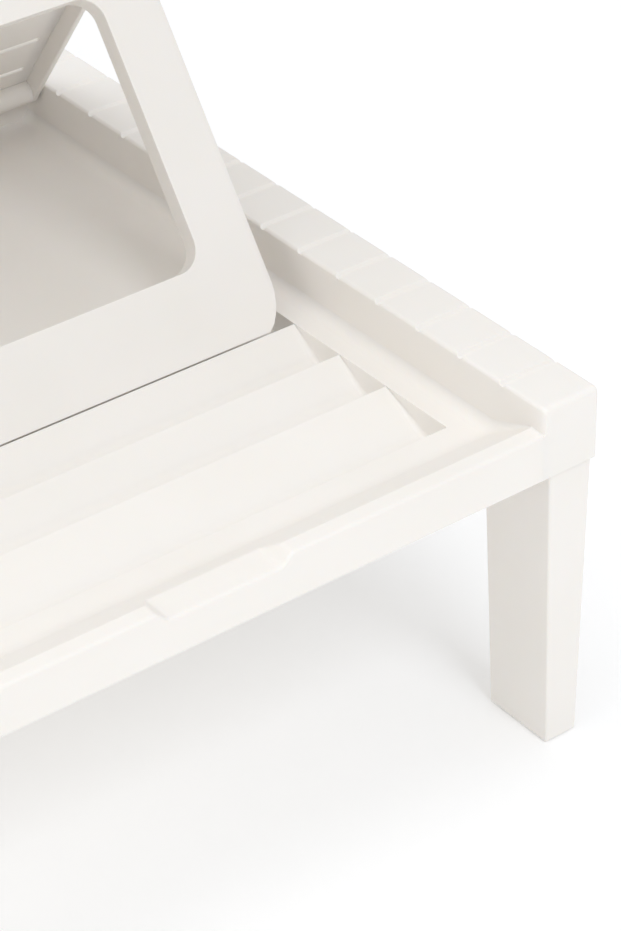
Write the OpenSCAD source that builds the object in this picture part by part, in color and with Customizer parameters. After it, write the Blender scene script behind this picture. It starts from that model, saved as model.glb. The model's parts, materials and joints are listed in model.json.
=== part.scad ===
// Reclining sun lounger in moulded polypropylene.
// The long way is X with the head end at +X, the width is Y and up is +Z.
// The origin is on the ground, under the middle of the frame. All sizes are in millimetres.

/* [Overall] */
// Length of the frame, end face to end face
lounger_length = 1898; // [1500:2:2400]
// Width over the side rails
lounger_width = 684; // [560:1:900]
// Height of the rail tops above the ground
deck_height = 324; // [250:1:450]

/* [Side rails] */
// Width of a side rail
rail_width = 53; // [45:1:80]
// Height of the rails' outer faces
rail_height = 62; // [60:1:90]
// Wall of the moulding
wall = 4; // [3:0.5:6]
// Thickness of the rail's top, under the grooves
top_wall = 6; // [5:0.5:10]
// Round on the rail's top edges
rail_round = 3; // [1:0.5:6]
// Spacing of the grooves that divide the rails into blocks
groove_pitch = 50; // [30:1:100]
// Width of a groove
groove_width = 5; // [3:0.5:8]
// Depth of a groove
groove_depth = 3; // [1:0.5:4]
// Length of the end block, before the first groove
end_block = 49; // [40:1:60]
// Depth of the stiffening ribs inside the rails
rail_rib_depth = 34; // [20:1:44]

/* [Tray and rack] */
// Depth of the tray and its ledges below the rail tops
ledge_depth = 46; // [44:0.5:50]
// Width of the ledge between a rail and the rack
ledge_width = 25.3; // [15:0.1:40]
// Distance from the head end to the rack's first edge
rack_start = 82.3; // [80:0.1:110]
// Pitch of the rack's first tooth, nearest the head end
first_tooth = 74; // [60:0.5:90]
// Pitch of the other teeth
other_teeth = 58.8; // [50:0.1:75]
// Slope of the first tooth, in degrees
first_slope = 24.5; // [22:0.5:35]
// Slope of the other teeth, in degrees
other_slope = 35; // [30:0.5:45]
// Depth of the notches below the ledge
notch_depth = 22; // [16:1:24]
// Round at the bottom of each notch
notch_round = 8; // [4:1:10]

/* [Head and foot rails] */
// Drop from the rail tops to the head rail's lip
lip_drop = 21.8; // [21.5:0.1:26]
// Width of the lip's flat top
lip_band = 14.5; // [12:0.5:18]
// Slope of the lip's inner side down to the tray, in degrees
lip_slope = 30; // [30:1:60]
// Radius of the hollow round between that slope and the tray
lip_hollow = 30; // [10:1:30]
// Round on the end face's top edge
lip_round = 4; // [1:0.5:5]
// Width of the finger recess at its top
recess_width = 116; // [90:1:150]
// Length of each sloped end of the finger recess
recess_slope = 9.5; // [4:0.5:15]
// Depth of the finger recess
recess_depth = 8.6; // [5:0.2:12]
// Width of the foot rail
foot_rail_width = 49; // [40:1:60]

/* [Seat deck] */
// Thickness of the deck and of the backrest's face
skin = 5; // [4.5:0.5:6]
// Number of ribs under the deck and the backrest
rib_count = 5; // [3:2:7]
// Thickness of a rib
rib_wall = 3.5; // [2.5:0.5:5]
// Spacing of those ribs
rib_spacing = 96; // [60:1:110]
// Depth of the deck's long ribs
deck_rib_depth = 30; // [20:1:40]
// Solid deck left between a drain slot and the nearest rib or edge
slot_land = 12; // [6:1:20]

/* [Backrest] */
// Distance from the head end to the groove that the hinge end of the backrest meets
hinge_groove = 13; // [11:1:15]
// Radius of the barrel along the hinge end
barrel_r = 10.5; // [9:0.5:10.5]
// Radius of the hinge pins
hinge_pin_r = 5; // [3:0.5:6]
// Length of a hinge pin inside the backrest
hinge_pin_reach = 24; // [16:1:40]
// Depth of the backrest's rim
rim_depth = 21; // [18:0.5:21]
// Wall of the backrest's rim
rim_wall = 6; // [4:0.5:8]
// Gap between the backrest and the side rails
side_gap = 3; // [2:0.5:6]
// Gap between the backrest's head end and the frame's end face
head_gap = 2; // [1:0.5:6]
// Depth of the backrest's own ribs, face included
back_rib_depth = 17; // [12:0.5:18]
// Angle of the raised backrest
recline_angle = 53; // [50:0.5:54]

/* [Prop frame] */
// Angle of the raised prop from the ground
prop_angle = 54.9; // [52:0.1:57]
// Thickness of the prop
prop_thick = 18; // [16:0.5:20]
// Width of the prop's side bars
prop_bar = 52; // [35:1:70]
// Width of the prop's foot bar
prop_foot_bar = 69; // [50:1:80]
// Width of the prop's top bar
prop_top_bar = 46; // [30:1:60]
// Gap between the prop and the rack's side walls
prop_side_gap = 5; // [3:0.5:10]
// Radius of the round that each side of the prop's foot starts
prop_corner = 50; // [30:1:55]
// Part of that round that the flat foot cuts off
prop_corner_cut = 13; // [2:1:20]
// Corner radius of the prop's opening
prop_inner_corner = 21; // [10:1:30]
// Radius of the prop's pivot pins
prop_pin_r = 4; // [3:0.5:5]
// Depth of the prop's pivots below the rail tops when the backrest is flat
pivot_depth = 32; // [31.5:0.1:33]
// Thickness of the lugs that carry the prop's pins
lug_thick = 12; // [8:1:16]
// Outer radius of the lugs
lug_r = 11; // [9:0.5:11]
// Gap between a lug and the prop
lug_gap = 4; // [1:0.5:6]

/* [Legs] */
// Length of a leg along the frame, at its top
leg_top_length = 77.5; // [60:0.5:100]
// Length of a leg along the frame, at the ground
leg_foot_length = 69; // [50:0.5:90]
// Width of a leg at its top
leg_top_width = 40.8; // [34:0.1:43]
// Width of a leg at the ground
leg_foot_width = 30.5; // [20:0.5:40]
// Inset of a leg's top from the rail's outer faces
leg_inset = 3; // [1:0.5:5]
// Taper of a leg's outer face over its height
leg_outer_taper = 6.6; // [0:0.1:12]
// Taper of a leg's end face over its height
leg_end_taper = 1.2; // [0:0.1:6]
// Wall of a leg
leg_wall = 4; // [3:0.5:6]
// Height of the tenon that plugs a leg into its rail
tenon_height = 48; // [30:1:54]
// Play between a tenon and its socket
tenon_gap = 0.3; // [0.1:0.1:1]
// Radius of the screws that hold the legs
screw_r = 2.5; // [2:0.25:4]
// Length of a leg screw under its head
screw_length = 16; // [12:1:30]
// Height of the rubber glide under each leg
glide_height = 4; // [2:0.5:8]
// Part of the glide that stands below the leg
glide_proud = 1; // [0.5:0.5:3]

/* [Hidden] */

// Finishes
MOULDED_WHITE = "#f1efe9";
PIN_STEEL = "#b9bcbf";
GLIDE_RUBBER = "#4a4a4a";

// Fits and small margins
RUN_FIT = 0.05;
CUT = 1;
ARC_STEPS = 8;
ROUND_FN = 64;

// Run of the lip's inner slope, and where its hollow round meets the tray
lip_run = (ledge_depth - lip_drop) / tan(lip_slope);
lip_foot = lip_band + lip_run + lip_hollow * tan(lip_slope / 2);

// Half sizes and the main levels
half_length = lounger_length / 2;
half_width = lounger_width / 2;
rail_foot = deck_height - rail_height;
tray_top = deck_height - ledge_depth;
tray_foot = tray_top - wall;
inner_y = half_width - rail_width;
rack_y = inner_y - ledge_width;

// Grooves, counted from the head end
groove_count = floor((lounger_length - 2 * end_block) / groove_pitch + 0.5) + 1;

// Hinge axis of the backrest, and where the seat deck starts. The barrel lies a little below
// the deck's level, so that its top blends into the face.
barrel_sink = 0.25;
hinge_end = end_block + hinge_groove * groove_pitch;
hinge_gap = groove_width;
hinge_x = from_head(hinge_end - groove_width / 2 - barrel_r);
hinge_z = deck_height - barrel_r - barrel_sink;
deck_start = hinge_end + groove_width / 2;

// Rack edges, as distances from the head end, and the ramp of each tooth
rack_edges = [for (i = [0:3]) rack_start + (i > 0 ? first_tooth : 0) + max(i - 1, 0) * other_teeth];
rack_end = rack_edges[3] + other_teeth;
rack_slopes = [first_slope, other_slope, other_slope, other_slope];
rack_next = [rack_edges[1], rack_edges[2], rack_edges[3], rack_end];
rack_foot = tray_top - notch_depth - wall;

// Linkage. The prop's front foot corner stands just behind the last rack edge, and the
// pivot is where the raised backrest and the raised prop meet.
foot_behind = 0.5;
foot_above = 0.4;
back_dir = [cos(recline_angle), sin(recline_angle)];
back_down = [sin(recline_angle), -cos(recline_angle)];
prop_dir = [cos(prop_angle), -sin(prop_angle)];
prop_front = [sin(prop_angle), cos(prop_angle)];
pivot_offset = hinge_z - (deck_height - pivot_depth);
foot_corner = [from_head(rack_edges[3]) - foot_behind, tray_top + foot_above];
span = foot_corner - [hinge_x, hinge_z] - pivot_offset * back_down - prop_thick / 2 * prop_front;
pivot_reach = (span[0] * sin(prop_angle) + span[1] * cos(prop_angle)) / sin(recline_angle + prop_angle);
prop_length = (span[0] * sin(recline_angle) - span[1] * cos(recline_angle)) / sin(recline_angle + prop_angle);
pivot = [hinge_x, hinge_z] + pivot_reach * back_dir + pivot_offset * back_down;
foot_bevel = prop_thick / tan(prop_angle);

// Backrest and prop widths
back_y = inner_y - side_gap;
rim_y = back_y - rim_wall;
prop_y = rack_y - prop_side_gap;
lug_y = prop_y + lug_gap;
rib_half = (rib_count - 1) / 2;
cross_rib_start = 4.5 * groove_pitch;
cross_rib_step = 5 * groove_pitch;
pin_head_step = 3;
pin_head_r = prop_pin_r + pin_head_step;
pin_head = 2;

// Leg socket: the rail's end block, closed by a rib. More ribs divide the rail between sockets.
socket_rib = leg_inset + leg_top_length + wall;
rail_bays = 8;
rail_bay = (lounger_length - 2 * socket_rib) / rail_bays;

// Plan of a glide, one wall inside the leg's foot
glide_length = leg_foot_length - 2 * leg_wall;
glide_width = leg_foot_width - 2 * leg_wall;

// Leg screw: its axis at the head end on the right, its hole in the rib and its round head
screw_y = half_width - rail_width / 2;
screw_z = rail_foot + tenon_height / 2;
screw_play = 0.5;
screw_head_r = 2 * screw_r;
screw_head = 1.2 * screw_r;

// X of a point at a distance from the head end
function from_head(d) = half_length - d;

// Z of a point at a depth below the rail tops
function below(d) = deck_height - d;

// Points of an arc about a centre, between two angles
function arc(cx, cy, r, a0, a1) = [
    for (i = [0:ARC_STEPS])
        let (a = a0 + (a1 - a0) * i / ARC_STEPS)
            [cx + r * cos(a), cy + r * sin(a)]
];

// Block between two corners
module block(low, high) {
    translate(low)
        cube(high - low);
}

// An X-Z outline carried across the width, from y0 to y1
module across(y0, y1) {
    translate([0, y1, 0])
        rotate([90, 0, 0])
            linear_extrude(y1 - y0)
                children();
}

// A Y-Z outline carried along the length, from x0 to x1
module along(x0, x1) {
    translate([x0, 0, 0])
        rotate([90, 0, 90])
            linear_extrude(x1 - x0)
                children();
}

// Cylinder along Y, from y0 to y1
module pin_along_y(x, z, r, y0, y1) {
    translate([x, y1, z])
        rotate([90, 0, 0])
            cylinder(h = y1 - y0, r = r, $fn = ROUND_FN);
}

// The same on both sides of the middle
module both_sides() {
    children();
    mirror([0, 1, 0])
        children();
}

// The left-hand copy
module left() {
    mirror([0, 1, 0])
        children();
}

// Grooves across the top between two distances from the head end
module grooves(near, far, y) {
    for (i = [0:groove_count - 1]) {
        d = end_block + i * groove_pitch;
        if (d > near - groove_width && d < far + groove_width)
            block(
                [from_head(d) - groove_width / 2, -y, below(groove_depth)],
                [from_head(d) + groove_width / 2, y, below(-CUT)]
            );
    }
}

// Drain slots through a face, one row in each groove, between the ribs
module drain_slots(near, far, edge_y) {
    for (i = [0:groove_count - 1]) {
        d = end_block + i * groove_pitch;
        if (d > near + groove_pitch / 2 && d < far - groove_pitch / 2)
            for (j = [0:rib_half]) {
                y0 = j * rib_spacing + slot_land;
                y1 = min((j + 1) * rib_spacing, j == rib_half ? edge_y : half_width) - slot_land;
                both_sides()
                    block(
                        [from_head(d) - groove_width / 2, y0, below(skin + CUT)],
                        [from_head(d) + groove_width / 2, y1, below(0)]
                    );
            }
    }
}

// Long ribs under a face, between two distances from the head end
module long_ribs(near, far, depth) {
    for (i = [-rib_half:rib_half])
        block(
            [from_head(far), i * rib_spacing - rib_wall / 2, below(depth)],
            [from_head(near), i * rib_spacing + rib_wall / 2, below(skin / 2)]
        );
}

// Section of a side rail: square at the foot, rounded along both top edges
function rail_section() = concat(
    [[inner_y, rail_foot], [half_width, rail_foot]],
    arc(half_width - rail_round, deck_height - rail_round, rail_round, 0, 90),
    arc(inner_y + rail_round, deck_height - rail_round, rail_round, 90, 180)
);

// Channel-shaped side rail with closed ends, ribs, leg sockets and the hinge pin's boss
module side_rail() {
    channel_low = inner_y + wall;
    channel_high = half_width - wall;
    boss = 2 * hinge_pin_r + 4 * wall;
    color(MOULDED_WHITE)
        difference() {
            union() {
                difference() {
                    along(-half_length, half_length)
                        polygon(rail_section());
                    block(
                        [-half_length + wall, channel_low, rail_foot - CUT],
                        [half_length - wall, channel_high, deck_height - top_wall]
                    );
                }
                for (i = [0:rail_bays]) {
                    d = socket_rib + i * rail_bay;
                    block(
                        [from_head(d) - wall / 2, channel_low - wall / 2, below(rail_rib_depth + top_wall)],
                        [from_head(d) + wall / 2, channel_high + wall / 2, below(top_wall / 2)]
                    );
                }
                block(
                    [hinge_x - boss / 2, channel_low - wall / 2, hinge_z - boss / 2],
                    [hinge_x + boss / 2, channel_high + wall / 2, below(top_wall / 2)]
                );
            }
            grooves(0, lounger_length, half_width + CUT);
            pin_along_y(hinge_x, hinge_z, hinge_pin_r, inner_y - CUT, channel_high);
            leg_screw_holes(screw_r + screw_play);
        }
}

// Upper outline of the head rail, from the end face over the lip to ledge level
function lip_outline() = concat(
    [[from_head(0), rail_foot]],
    arc(from_head(lip_round), below(lip_drop + lip_round), lip_round, 0, 90),
    [[from_head(lip_band), below(lip_drop)]],
    arc(from_head(lip_foot), tray_top + lip_hollow, lip_hollow, 270 + lip_slope, 270)
);

// Underside of the head rail, one wall inside its upper outline
function lip_underside() =
    let (shift = wall * tan(lip_slope / 2))
    [
        [from_head(lip_foot), tray_foot],
        [from_head(lip_band + lip_run - shift), tray_foot],
        [from_head(lip_band - shift), below(lip_drop + wall)],
        [from_head(wall), below(lip_drop + wall)],
        [from_head(wall), rail_foot]
    ];

// Finger recess: a wide notch with sloped ends, seen along X
function recess_outline() = [
    [-recess_width / 2 + recess_slope, below(lip_drop + recess_depth)],
    [recess_width / 2 - recess_slope, below(lip_drop + recess_depth)],
    [recess_width / 2, below(lip_drop)],
    [recess_width / 2, below(0)],
    [-recess_width / 2, below(0)],
    [-recess_width / 2, below(lip_drop)]
];

// Head rail: a lip for the backrest to rest on, with a finger recess in its middle
module head_rail() {
    color(MOULDED_WHITE)
        difference() {
            union() {
                across(-inner_y, inner_y)
                    polygon(concat(lip_outline(), lip_underside()));
                intersection() {
                    across(-recess_width / 2 - wall, recess_width / 2 + wall)
                        polygon(concat(lip_outline(), [[from_head(lip_foot), rail_foot]]));
                    block(
                        [from_head(lip_foot), -half_width, below(lip_drop + recess_depth + wall)],
                        [from_head(0), half_width, below(lip_drop)]
                    );
                }
            }
            along(from_head(lip_foot + CUT), from_head(-CUT))
                polygon(recess_outline());
        }
}

// Foot rail: a channel level with the deck
module foot_rail() {
    foot_start = lounger_length - foot_rail_width;
    color(MOULDED_WHITE)
        difference() {
            block([-half_length, -inner_y, rail_foot], [from_head(foot_start), inner_y, deck_height]);
            block(
                [-half_length + wall, -inner_y + wall, rail_foot - CUT],
                [from_head(foot_start + wall), inner_y - wall, deck_height - top_wall]
            );
            grooves(foot_start, lounger_length, half_width);
        }
}

// One notch of the rack: the step under its edge, the rounded bottom and the ramp to the next edge
function notch(i) =
    let (
        edge = from_head(rack_edges[i]),
        next = from_head(rack_next[i]),
        bottom = tray_top - notch_depth,
        run = notch_depth / tan(rack_slopes[i])
    )
    concat(
        [[edge, tray_top]],
        arc(edge - notch_round, bottom + notch_round, notch_round, 0, -90),
        [[next + run, bottom]],
        [[next, tray_top]]
    );

// Hollow under one tooth, a wall inside its ramp and its step
module tooth_hollow(edge, slope) {
    drop = wall / cos(slope) + wall * tan(slope);
    run = (notch_depth + wall + CUT - drop) / tan(slope);
    if (run > 0)
        across(-rack_y, rack_y)
            polygon([
                [from_head(edge) + wall, tray_top - drop],
                [from_head(edge) + wall, rack_foot - CUT],
                [from_head(edge) + wall + run, rack_foot - CUT]
            ]);
}

// Tray under the backrest: a floor at ledge level, with the notched rack sunk in it
module back_tray() {
    well_near = from_head(rack_start);
    well_far = from_head(rack_end);
    hollow_run = (notch_depth + wall + CUT) / tan(other_slope) - wall / sin(other_slope);
    color(MOULDED_WHITE)
        difference() {
            union() {
                block([from_head(deck_start), -inner_y, tray_foot], [from_head(lip_foot), inner_y, tray_top]);
                block(
                    [well_far, -rack_y - wall, rack_foot],
                    [well_near + wall, rack_y + wall, tray_top - wall / 2]
                );
            }
            for (i = [0:3])
                across(-rack_y, rack_y)
                    polygon(concat(notch(i), [
                        [from_head(rack_next[i]), tray_top + CUT],
                        [from_head(rack_edges[i]), tray_top + CUT]
                    ]));
            for (i = [1:3])
                tooth_hollow(rack_edges[i], rack_slopes[i - 1]);
            across(-rack_y - wall - CUT, rack_y + wall + CUT)
                polygon([
                    [well_far - wall, tray_foot],
                    [well_far + wall / tan(other_slope) - wall / sin(other_slope), tray_foot],
                    [well_far + hollow_run, rack_foot - CUT],
                    [well_far - wall, rack_foot - CUT]
                ]);
        }
}

// Seat deck: crosswise planks with drain slots between them, ribs below and a closed head end
module seat_deck() {
    deck_end = lounger_length - foot_rail_width;
    color(MOULDED_WHITE)
        difference() {
            union() {
                block(
                    [from_head(deck_end), -inner_y, below(skin)],
                    [from_head(deck_start), inner_y, deck_height]
                );
                block(
                    [from_head(deck_start + wall), -inner_y, tray_foot],
                    [from_head(deck_start), inner_y, deck_height]
                );
                long_ribs(deck_start + wall / 2, deck_end, deck_rib_depth);
                for (d = [deck_start + cross_rib_start : cross_rib_step : deck_end])
                    block(
                        [from_head(d) - rib_wall / 2, -inner_y, below(deck_rib_depth)],
                        [from_head(d) + rib_wall / 2, inner_y, below(skin / 2)]
                    );
            }
            grooves(deck_start + groove_width, lounger_length, half_width);
            drain_slots(deck_start, deck_end, inner_y);
        }
}

// Turns the flat backrest up about its hinge
module raised() {
    translate([hinge_x, 0, hinge_z])
        rotate([0, -recline_angle, 0])
            translate([-hinge_x, 0, -hinge_z])
                children();
}

// Lug under the backrest's face for one of the prop's pins
module prop_lug() {
    x = hinge_x + pivot_reach;
    z = below(pivot_depth);
    pin_along_y(x, z, lug_r, lug_y, lug_y + lug_thick);
    block([x - lug_r, lug_y, z], [x + lug_r, lug_y + lug_thick, below(skin / 2)]);
}

// Backrest: a planked face with a rim, a hinge barrel, ribs and two lugs for the prop
module backrest() {
    x_head = from_head(head_gap);
    rib_end = lounger_length / 2 - (hinge_x + pivot_reach + prop_length - prop_foot_bar - prop_thick);
    color(MOULDED_WHITE)
        raised()
            difference() {
                union() {
                    block([hinge_x, -back_y, below(skin)], [x_head, back_y, deck_height]);
                    both_sides()
                        block([hinge_x, rim_y, below(rim_depth)], [x_head, back_y, below(skin / 2)]);
                    block([x_head - rim_wall, -back_y, below(rim_depth)], [x_head, back_y, below(skin / 2)]);
                    pin_along_y(hinge_x, hinge_z, barrel_r, -back_y, back_y);
                    long_ribs(rib_end, lounger_length / 2 - hinge_x, back_rib_depth);
                    both_sides()
                        prop_lug();
                }
                grooves(head_gap + groove_width, hinge_end - groove_pitch / 2, half_width);
                drain_slots(head_gap, hinge_end, rim_y);
                both_sides() {
                    pin_along_y(
                        hinge_x, hinge_z, hinge_pin_r + RUN_FIT,
                        back_y - hinge_pin_reach - CUT, back_y + CUT
                    );
                    pin_along_y(
                        hinge_x + pivot_reach, below(pivot_depth), prop_pin_r,
                        lug_y - CUT, lug_y + lug_thick + CUT
                    );
                }
            }
}

// Hinge pin, pressed in the rail's boss and running in the backrest's barrel
module hinge_pin() {
    color(PIN_STEEL)
        pin_along_y(hinge_x, hinge_z, hinge_pin_r, back_y - hinge_pin_reach, half_width - wall);
}

// Outline of the prop in its own plane. Its foot corners are rounds that the flat foot cuts short.
function prop_outline() =
    let (
        centre = prop_length + prop_corner_cut - prop_corner,
        end = acos((prop_corner - prop_corner_cut) / prop_corner)
    )
    concat(
        [[0, -prop_y]],
        arc(centre, -prop_y + prop_corner, prop_corner, -90, -end),
        arc(centre, prop_y - prop_corner, prop_corner, end, 90),
        [[0, prop_y]]
    );

// Outline of the prop's opening
function prop_opening() =
    let (
        low = prop_top_bar,
        high = prop_length - prop_foot_bar,
        side = prop_y - prop_bar,
        r = prop_inner_corner
    )
    concat(
        arc(high - r, -side + r, r, -90, 0),
        arc(high - r, side - r, r, 0, 90),
        arc(low + r, side - r, r, 90, 180),
        arc(low + r, -side + r, r, 180, 270)
    );

// Prop frame: a flat ring that swings from the backrest and stands in the rack
module prop_frame() {
    color(MOULDED_WHITE)
        translate([pivot[0], 0, pivot[1]])
            rotate([0, prop_angle, 0])
                difference() {
                    union() {
                        translate([0, 0, -prop_thick / 2])
                            linear_extrude(prop_thick)
                                difference() {
                                    polygon(prop_outline());
                                    polygon(prop_opening());
                                }
                        pin_along_y(0, 0, prop_thick / 2, -prop_y, prop_y);
                    }
                    across(-half_width, half_width)
                        polygon([
                            [prop_length, prop_thick / 2],
                            [prop_length + CUT, prop_thick / 2],
                            [prop_length + CUT, -prop_thick / 2 - CUT],
                            [prop_length - foot_bevel * (1 + CUT / prop_thick), -prop_thick / 2 - CUT]
                        ]);
                    both_sides()
                        pin_along_y(0, 0, prop_pin_r + RUN_FIT, prop_y - prop_bar / 2, prop_y + CUT);
                }
}

// Pivot pin of the prop, with a flat head outside the lug
module prop_pin() {
    lug_out = lug_y + lug_thick;
    color(PIN_STEEL)
        translate([pivot[0], 0, pivot[1]]) {
            pin_along_y(0, 0, prop_pin_r, prop_y - prop_bar / 2 + CUT, lug_out);
            pin_along_y(0, 0, pin_head_r, lug_out, lug_out + pin_head);
        }
}

// Corners of a leg's section, for a corner inset from the end and side faces and a size
function leg_corners(end, side, length, width, z) = [
    [from_head(end + length), half_width - side - width, z],
    [from_head(end), half_width - side - width, z],
    [from_head(end), half_width - side, z],
    [from_head(end + length), half_width - side, z]
];

// Solid between two four-cornered sections
module taper(foot_corners, top_corners) {
    polyhedron(
        points = concat(foot_corners, top_corners),
        faces = [[0, 1, 2, 3], [7, 6, 5, 4], [0, 4, 5, 1], [1, 5, 6, 2], [2, 6, 7, 3], [3, 7, 4, 0]]
    );
}

// Tapered hollow leg with a tenon that plugs into the rail
module leg() {
    foot_end = leg_inset + leg_end_taper;
    foot_side = leg_inset + leg_outer_taper;
    tenon_in = wall + tenon_gap;
    tenon_out = socket_rib - wall / 2 - tenon_gap;
    tenon_side = rail_width - wall - tenon_gap;
    tenon_top = rail_foot + tenon_height;
    recess = glide_height - glide_proud;
    color(MOULDED_WHITE)
        difference() {
            union() {
                taper(
                    leg_corners(foot_end, foot_side, leg_foot_length, leg_foot_width, glide_proud),
                    leg_corners(leg_inset, leg_inset, leg_top_length, leg_top_width, rail_foot)
                );
                block(
                    [from_head(tenon_out), half_width - tenon_side, rail_foot],
                    [from_head(tenon_in), half_width - tenon_in, tenon_top]
                );
            }
            taper(
                leg_corners(
                    foot_end + leg_wall, foot_side + leg_wall,
                    glide_length, glide_width, glide_proud + recess + leg_wall
                ),
                leg_corners(
                    leg_inset + 2 * leg_wall, leg_inset + 2 * leg_wall,
                    leg_top_length - 4 * leg_wall, leg_top_width - 3 * leg_wall, tenon_top + CUT
                )
            );
            glide_block(glide_proud - CUT, glide_proud + recess);
            leg_screw_holes(screw_r);
        }
}

// Block of the glide's plan between two heights
module glide_block(z0, z1) {
    end = leg_inset + leg_end_taper + leg_wall;
    side = leg_inset + leg_outer_taper + leg_wall;
    block(
        [from_head(end + glide_length), half_width - side - glide_width, z0],
        [from_head(end), half_width - side, z1]
    );
}

// Rubber glide let into a leg's foot
module glide() {
    color(GLIDE_RUBBER)
        glide_block(0, glide_height);
}

// Cylinder along X from a distance from the head end, for one leg screw
module screw_bar(near, far, r) {
    translate([from_head(far), screw_y, screw_z])
        rotate([0, 90, 0])
            cylinder(h = far - near, r = r, $fn = ROUND_FN);
}

// Holes for the leg screws at both ends
module leg_screw_holes(r) {
    ends()
        screw_bar(socket_rib - screw_length, socket_rib + wall, r);
}

// The same at the head end and at the foot end
module ends() {
    children();
    mirror([1, 0, 0])
        children();
}

// Leg screws: a round head against the rib and a shank into the tenon
module leg_screws() {
    color(PIN_STEEL)
        ends()
            both_sides() {
                screw_bar(socket_rib + wall / 2 - screw_length, socket_rib + wall / 2, screw_r);
                screw_bar(socket_rib + wall / 2, socket_rib + wall / 2 + screw_head, screw_head_r);
            }
}

side_rail();  // side_rail_right
left() side_rail();  // side_rail_left
head_rail();
foot_rail();
back_tray();
seat_deck();
leg();  // leg_head_right
left() leg();  // leg_head_left
mirror([1, 0, 0]) leg();  // leg_foot_right
mirror([1, 0, 0]) left() leg();  // leg_foot_left
leg_screws();
glide();  // glide_head_right
left() glide();  // glide_head_left
mirror([1, 0, 0]) glide();  // glide_foot_right
mirror([1, 0, 0]) left() glide();  // glide_foot_left
backrest();
hinge_pin();  // hinge_pin_right
left() hinge_pin();  // hinge_pin_left
prop_frame();
prop_pin();  // prop_pin_right
left() prop_pin();  // prop_pin_left
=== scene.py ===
"""Looks of the reclining sun lounger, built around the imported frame.

Every size below is in millimetres in the frame's own axes: +X to the head end, +Y to the
right-hand rail, +Z up. Meshes are written in metres.
"""

import json
import math

import bpy
import bmesh
import numpy as np
from mathutils import Matrix, Vector


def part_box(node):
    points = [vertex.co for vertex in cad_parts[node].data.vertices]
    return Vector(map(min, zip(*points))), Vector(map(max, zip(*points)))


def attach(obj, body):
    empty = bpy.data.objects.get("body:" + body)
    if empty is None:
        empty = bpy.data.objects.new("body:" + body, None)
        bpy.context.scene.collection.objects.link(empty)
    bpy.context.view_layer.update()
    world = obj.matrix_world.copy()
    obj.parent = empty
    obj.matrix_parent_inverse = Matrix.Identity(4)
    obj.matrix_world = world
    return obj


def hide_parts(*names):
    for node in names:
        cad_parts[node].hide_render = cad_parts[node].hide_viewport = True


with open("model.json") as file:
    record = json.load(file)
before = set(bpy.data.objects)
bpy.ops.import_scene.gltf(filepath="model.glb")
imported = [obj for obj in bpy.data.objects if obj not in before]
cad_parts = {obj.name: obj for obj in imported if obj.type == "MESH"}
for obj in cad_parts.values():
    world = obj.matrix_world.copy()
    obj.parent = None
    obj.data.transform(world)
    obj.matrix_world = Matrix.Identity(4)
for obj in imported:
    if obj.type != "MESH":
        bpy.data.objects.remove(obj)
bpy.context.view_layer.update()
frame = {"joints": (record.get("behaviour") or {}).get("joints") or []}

MM = 0.001
RAD = math.pi / 180
SHARP = 32 * RAD

# ---------------------------------------------------------------- sizes from the frame


def node_box(node):
    """Lowest and highest corner of a node at rest, in millimetres."""
    low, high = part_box(node)
    return np.array(low) / MM, np.array(high) / MM


rail_low, rail_high = node_box("side_rail_right")
tray_low, tray_high = node_box("back_tray")
leg_low, leg_high = node_box("leg_head_right")
foot_rail_low, foot_rail_high = node_box("foot_rail")
deck_low, deck_high = node_box("seat_deck")
prop_low, prop_high = node_box("prop_frame")
_, back_high = node_box("backrest")
joints = {joint["name"]: joint for joint in frame["joints"]}

half_length = rail_high[0]
half_width = rail_high[1]
inner_y = rail_low[1]
deck_top = rail_high[2]
rail_foot = rail_low[2]
tray_top = tray_high[2]
hinge_x, _, hinge_z = (v / MM for v in joints["backrest_recline"]["pos_m"])
pivot_x, _, pivot_z = (v / MM for v in joints["prop_swing"]["pos_m"])
recline = max(joints["backrest_recline"]["range_deg"])
prop_y = prop_high[1]
back_y = back_high[1]

# Walls and moulded details. RECESS is the finger recess's width at the top, how much narrower it
# is halfway down, and its depth. PROP_ROUND is the radius of the foot's corners and how much of
# them the flat foot cuts off
WALL = 4
GROOVE_PITCH = 50
END_BLOCK = 49
GROOVE_DEPTH = 3
GROOVE_FLOOR = 1.3
GROOVE_MOUTH = 4.2
END_EDGE = 5.5
PLANK_GAP = 5
SKIN = 5
LEDGE_WIDTH = 25.3
RACK_EDGES = (82.3, 156.3, 215.1, 273.9, 332.7)
RACK_SLOPES = (24.5, 35, 35, 35)
NOTCH_DEPTH = 22
NOTCH_RADII = (0.25, 7, 26)
LIP_DROP = 21.8
HEAD_GAP = 2
LIP_BAND = 14.5
LIP_SLOPE = 30
LIP_HOLLOW = 30
RECESS = (116, 9.5, 8.6)
RIB_Y = 96 * np.arange(-2, 3)
RIB_DEPTH = 30
PROP_ANGLE = 54.9
PROP_THICK = 18
PROP_ROUND = (50, 13)
PROP_FOOT_BAR = 69
PROP_PIVOT_BAR = 46
PROP_SIDE_BAR = 52
PROP_OPENING_R = 21
BARREL_R = 10.5
rack_y = inner_y - LEDGE_WIDTH
flat_head_x = half_length - HEAD_GAP
prop_foot_rise = PROP_THICK / 2 * math.cos(PROP_ANGLE * RAD)
prop_length = (pivot_z + prop_foot_rise - prop_low[2]) / math.sin(PROP_ANGLE * RAD)


def from_head(distance):
    """X at a distance from the head end."""
    return half_length - distance


# ---------------------------------------------------------------- mesh helpers


def smoothstep(t):
    """Cubic ease from 0 to 1: three t squared less two t cubed, level at both ends."""
    t = np.clip(t, 0, 1)
    return t * t * (3 - 2 * t)


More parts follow.
